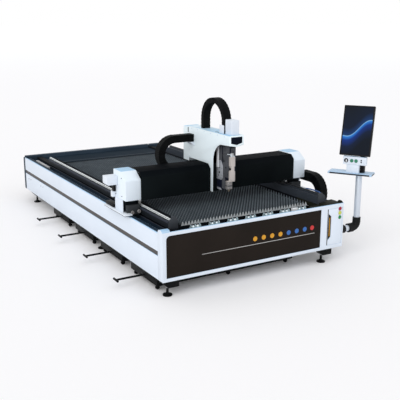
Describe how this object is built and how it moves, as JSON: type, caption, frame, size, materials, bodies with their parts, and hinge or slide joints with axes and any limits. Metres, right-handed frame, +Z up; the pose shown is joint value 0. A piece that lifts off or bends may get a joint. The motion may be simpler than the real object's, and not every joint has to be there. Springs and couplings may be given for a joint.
{
  "type": "gantry laser cutting machine",
  "caption": "Flat-bed sheet cutting machine: slatted table in a white bed, black gantry with moving head, drag chains, scrap trolleys and a swivelling control pendant.",
  "frame": {"origin": "bottom centre of the overall bounding box, on the floor under the levelling feet", "axes": "x runs along the front edge from the trolley side to the pendant side, y from the front to the rear, z up"},
  "size_m": [3.057, 4.89, 1.895],
  "materials": {
    "white_paint": "satin powder coat",
    "tray_blue": "satin powder coat",
    "frame_paint": "matt powder coat",
    "trim_grey": "matt",
    "panel_black": "satin powder coat",
    "navy_paint": "satin powder coat",
    "slat_steel": "laser-cut mild steel, dark",
    "beam_paint": "satin powder coat",
    "bright_steel": "ground",
    "ball_chrome": "polished",
    "black_paint": "satin powder coat",
    "zinc_plate": "zinc plated",
    "unit_plastic": "moulded",
    "black_plastic": "moulded",
    "lamp_plastic": "translucent lens",
    "silver_tube": "anodised",
    "screen_gloss": "glossy screen",
    "green_plastic": "moulded",
    "chain_plastic": "moulded",
    "slide_grey": "anodised",
    "head_taupe": "satin",
    "nozzle_brass": "turned"
  },
  "bodies": {
    "bed": {"bed_frame": "frame_paint", "left_panel": "white_paint", "right_panel": "white_paint", "trim_strips": "trim_grey", "front_frame": "white_paint", "front_panel": "panel_black", "rear_wall": "navy_paint", "rear_deck": "navy_paint", "slats": "slat_steel", "slat_combs": "frame_paint", "rail_beams": "beam_paint", "guide_rails": "bright_steel", "gutters": "navy_paint", "ball_blocks": "bright_steel", "loading_balls": "ball_chrome", "foot_brackets": "black_paint", "levelling_feet": "black_paint", "cabinet_shell": "white_paint", "cabinet_backplate": "zinc_plate", "drive_units": "unit_plastic", "arm_elbow": "black_plastic", "arm_sleeve": "silver_tube", "pendant_column": "silver_tube", "y_chain_tray": "frame_paint", "y_chain_run": "chain_plastic"},
    "door": {"cabinet_door": "white_paint", "door_handle": "black_plastic", "status_lamps": "lamp_plastic"},
    "pendant": {"keyboard_tray": "tray_blue", "pendant_neck": "white_paint", "control_box": "white_paint", "monitor_housing": "black_plastic", "screen_panel": "screen_gloss"},
    "start": {"start_button": "green_plastic"},
    "pause": {"pause_button": "green_plastic"},
    "selector": {"selector_knob": "black_plastic"},
    "gantry": {"gantry_beam": "beam_paint", "beam_cover": "beam_paint", "end_covers": "white_paint", "gantry_legs": "white_paint", "bearing_blocks": "bright_steel", "drive_motor": "white_paint", "x_rails": "bright_steel", "x_chain_tray": "frame_paint", "x_chain_run": "chain_plastic", "y_chain_lead": "chain_plastic"},
    "y_bend": {"y_chain_bend": "chain_plastic"},
    "carriage": {"carriage_plate": "frame_paint", "carriage_cover": "white_paint", "z_motor_cover": "white_paint", "x_chain_lead": "chain_plastic", "z_chain": "chain_plastic"},
    "x_bend": {"x_chain_bend": "chain_plastic"},
    "head": {"z_slide": "slide_grey", "laser_head": "head_taupe", "nozzle": "nozzle_brass"},
    "cart_1": {"trolley_1": "black_paint"},
    "cart_2": {"trolley_2": "black_paint"},
    "cart_3": {"trolley_3": "black_paint"},
    "cart_4": {"trolley_4": "black_paint"}
  },
  "joints": [
    {"name": "gantry_travel", "type": "slide", "parent": "bed", "child": "gantry", "axis": [0, 1, 0], "range_m": [-0.12, 2.75], "deforming": ["y_chain_run", "y_chain_lead"]},
    {"name": "y_bend_follow", "type": "slide", "parent": "bed", "child": "y_bend", "axis": [0, 1, 0], "range_m": [-0.06, 1.375]},
    {"name": "carriage_travel", "type": "slide", "parent": "gantry", "child": "carriage", "axis": [1, 0, 0], "range_m": [-0.46, 0.84], "deforming": ["x_chain_run", "x_chain_lead"]},
    {"name": "x_bend_follow", "type": "slide", "parent": "gantry", "child": "x_bend", "axis": [1, 0, 0], "range_m": [-0.23, 0.42]},
    {"name": "head_travel", "type": "slide", "parent": "carriage", "child": "head", "axis": [0, 0, 1], "range_m": [-0.185, 0.02], "deforming": ["z_chain"]},
    {"name": "door_hinge", "type": "hinge", "parent": "bed", "child": "door", "pos_m": [1.09353, -2.29504, 0.43], "axis": [0, 0, 1], "range_deg": [0, 80]},
    {"name": "pendant_swivel", "type": "hinge", "parent": "bed", "child": "pendant", "pos_m": [1.38253, -2.24504, 0.993], "axis": [0, 0, 1], "range_deg": [-60, 90]},
    {"name": "start_press", "type": "slide", "parent": "pendant", "child": "start", "axis": [0.8329, 0.5534, 0], "range_m": [0, 0.004], "stiffness_N_per_m": 800, "springref_m": -0.002},
    {"name": "pause_press", "type": "slide", "parent": "pendant", "child": "pause", "axis": [0.8329, 0.5534, 0], "range_m": [0, 0.004], "stiffness_N_per_m": 800, "springref_m": -0.002},
    {"name": "selector_turn", "type": "hinge", "parent": "pendant", "child": "selector", "pos_m": [1.22703, -2.18267, 1.1595], "axis": [-0.8329, -0.5534, 0], "range_deg": [-45, 45]},
    {"name": "cart_1_pull", "type": "slide", "parent": "bed", "child": "cart_1", "axis": [-1, 0, 0], "range_m": [0, 1.5]},
    {"name": "cart_2_pull", "type": "slide", "parent": "bed", "child": "cart_2", "axis": [-1, 0, 0], "range_m": [0, 1.5]},
    {"name": "cart_3_pull", "type": "slide", "parent": "bed", "child": "cart_3", "axis": [-1, 0, 0], "range_m": [0, 1.5]},
    {"name": "cart_4_pull", "type": "slide", "parent": "bed", "child": "cart_4", "axis": [-1, 0, 0], "range_m": [0, 1.5]}
  ],
  "couplings": [
    {"joint": "y_bend_follow", "follows": "gantry_travel", "ratio": 0.5},
    {"joint": "x_bend_follow", "follows": "carriage_travel", "ratio": 0.5}
  ]
}
